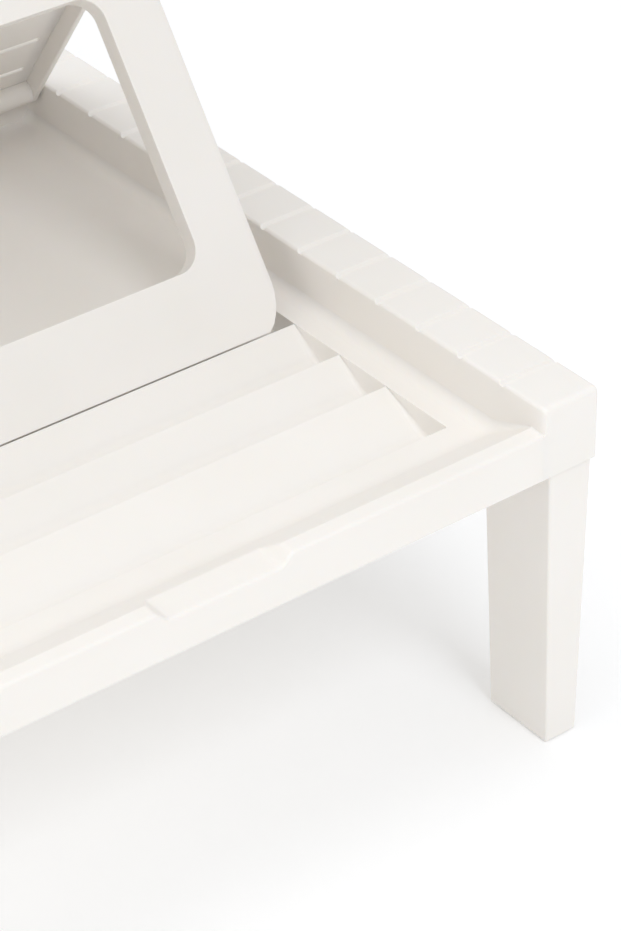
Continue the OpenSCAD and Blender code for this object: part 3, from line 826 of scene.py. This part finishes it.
def prop_pin():
    """Prop pin: a bar with a low domed head outside its lug."""
    low, high = node_box("prop_pin_right")
    turn = np.linspace(0, 80, 7) * RAD
    head = np.stack([high[1] - 2 + 2 * np.sin(turn), 7 * np.cos(turn)], -1)
    shank = [[low[1], 3.2], [low[1] + 0.8, 4], [high[1] - 2, 4], [high[1] - 1.98, 6.9]]
    return [lathe(np.concatenate([shank, head[1:]]), [pivot_x, 0, pivot_z], "y")]


def leg_screw():
    """Screw at the head end on the right: pan head against the rib, thread in the tenon.

    The thread is a shallow saw of ridges at the pitch of a plastics screw, 1.8 mm.
    """
    rib = from_head(LEG_INSET + LEG_TOP[0] + WALL + 2)
    y, z = half_width - (half_width - inner_y) / 2, rail_foot + 24
    ridge = np.arange(8)[:, None] * 1.8 + np.array([0, 0.9])
    thread = np.stack([rib + 1 + ridge.ravel(), np.tile([1.9, 2.5], 8)], -1)
    turn = np.linspace(90, 20, 6) * RAD
    dome = np.stack([rib - 3 * np.sin(turn), 5 * np.cos(turn) + 0.01], -1)
    neck, tip = [[rib, 5], [rib + 0.02, 2.5]], [[rib + 15.9, 0.8]]
    return [lathe(np.concatenate([dome, neck, thread, tip]), [0, y, z], "x")]


# ---------------------------------------------------------------- the pieces

all_sides = {
    "head_right": lambda parts: parts,
    "head_left": lambda parts: flipped(parts, 1),
    "foot_right": lambda parts: flipped(parts, 0),
    "foot_left": lambda parts: flipped(flipped(parts, 1), 0),
}
two_sides = {"right": lambda parts: parts, "left": lambda parts: flipped(parts, 1)}

make_piece("head_tray_skin", head_tray(), white, "frame", ["head_rail", "back_tray"])
make_piece("seat_deck_planks", seat_deck(), white, "frame", ["seat_deck"])
make_piece("foot_rail_skin", foot_rail(), white, "frame", ["foot_rail"], wall=WALL)
make_piece("backrest_shell", backrest(), white, "backrest", ["backrest"])
make_piece("prop_ring", prop_ring(), white, "prop", ["prop_frame"])
for side, placed in two_sides.items():
    make_piece(f"side_rail_skin_{side}", placed(side_rail()), white, "frame",
               [f"side_rail_{side}"], wall=WALL)
    make_piece(f"side_rail_ribs_{side}", placed(rail_ribs()), white, "frame", [])
    make_piece(f"turned_hinge_pin_{side}", placed(hinge_pin()), steel, "frame",
               [f"hinge_pin_{side}"])
    make_piece(f"domed_prop_pin_{side}", placed(prop_pin()), steel, "backrest",
               [f"prop_pin_{side}"])
screws = []
for corner, placed in all_sides.items():
    make_piece(f"tapered_leg_{corner}", placed(leg()), white, "frame", [f"leg_{corner}"])
    make_piece(f"soft_glide_{corner}", placed(glide()), rubber, "frame", [f"glide_{corner}"])
    screws += placed(leg_screw())
make_piece("pan_head_screws", screws, steel, "frame", ["leg_screws"])

# ---------------------------------------------------------------- floor, light and camera

# The floor's half width in metres, the room's brightness and colour, the floor's glow, then
# each light's name, place, width, power in watts and colour
FLOOR_REACH = 30
ROOM = 0.70
ROOM_COLOUR = "#FDFDFD"
FLOOR_GLOW = 0.17
LIGHTS = (
    ("key_light", (3.9, 0.0, 3.6), 1.6, 51, "#F3F8FF"),
    ("top_light", (0.2, -1.0, 4.5), 3.0, 46, "#F5F9FF"),
    ("side_light", (0.3, -3.6, 2.4), 2.5, 16, "#FFFDF8"),
)
LIT_POINT = (0.7, 0, 0.3)
CAMERA_PLACE = (2.3882, -0.9804, 1.5914)
CAMERA_TURNS = ((53.786, "Z"), (90 - 34.418, "X"), (-1.637, "Z"))
CAMERA_LENS = 121.07
CAMERA_SHIFT = 0.0018


def aimed(place, target):
    """Rotation that points a light at place towards a target."""
    direction = Vector(target) - Vector(place)
    return direction.to_track_quat("-Z", "Y").to_euler()


def studio():
    """Pale floor, a white room and three large soft lights."""
    mesh = bpy.data.meshes.new("floor")
    corners = [(-1, -1, 0), (1, -1, 0), (1, 1, 0), (-1, 1, 0)]
    corners = [(FLOOR_REACH * x, FLOOR_REACH * y, z) for x, y, z in corners]
    mesh.from_pydata(corners, [], [(0, 1, 2, 3)])
    floor = bpy.data.objects.new("floor", mesh)
    bpy.context.scene.collection.objects.link(floor)
    pale = bpy.data.materials.new("pale_floor")
    pale.use_nodes = True
    shader = pale.node_tree.nodes["Principled BSDF"]
    shader.inputs["Base Color"].default_value = linear("#F4F4F4")
    shader.inputs["Emission Color"].default_value = linear("#FFFFFF")
    shader.inputs["Emission Strength"].default_value = FLOOR_GLOW
    shader.inputs["Roughness"].default_value = 0.9
    shader.inputs["Specular IOR Level"].default_value = 0.1
    mesh.materials.append(pale)
    world = bpy.data.worlds.new("white_room")
    bpy.context.scene.world = world
    world.use_nodes = True
    sky = world.node_tree.nodes["Background"]
    sky.inputs["Color"].default_value = linear(ROOM_COLOUR)
    sky.inputs["Strength"].default_value = ROOM
    for name, place, size, power, colour in LIGHTS:
        data = bpy.data.lights.new(name, "AREA")
        data.size = size
        data.energy = power
        data.color = linear(colour)[:3]
        lamp = bpy.data.objects.new(name, data)
        lamp.location = place
        lamp.rotation_euler = aimed(place, LIT_POINT)
        bpy.context.scene.collection.objects.link(lamp)
    bpy.context.scene.view_settings.view_transform = "Standard"


def camera():
    """Camera over the head end's right-hand corner, looking down along the rail."""
    data = bpy.data.cameras.new("camera")
    data.lens = CAMERA_LENS
    data.sensor_width = 36
    data.shift_x = CAMERA_SHIFT
    data.clip_end = 100
    eye = bpy.data.objects.new("camera", data)
    eye.location = CAMERA_PLACE
    pan, tilt, roll = (Matrix.Rotation(angle * RAD, 4, axis) for angle, axis in CAMERA_TURNS)
    turn = pan @ tilt @ roll
    eye.rotation_euler = turn.to_euler()
    bpy.context.scene.collection.objects.link(eye)
    bpy.context.scene.camera = eye


studio()
camera()
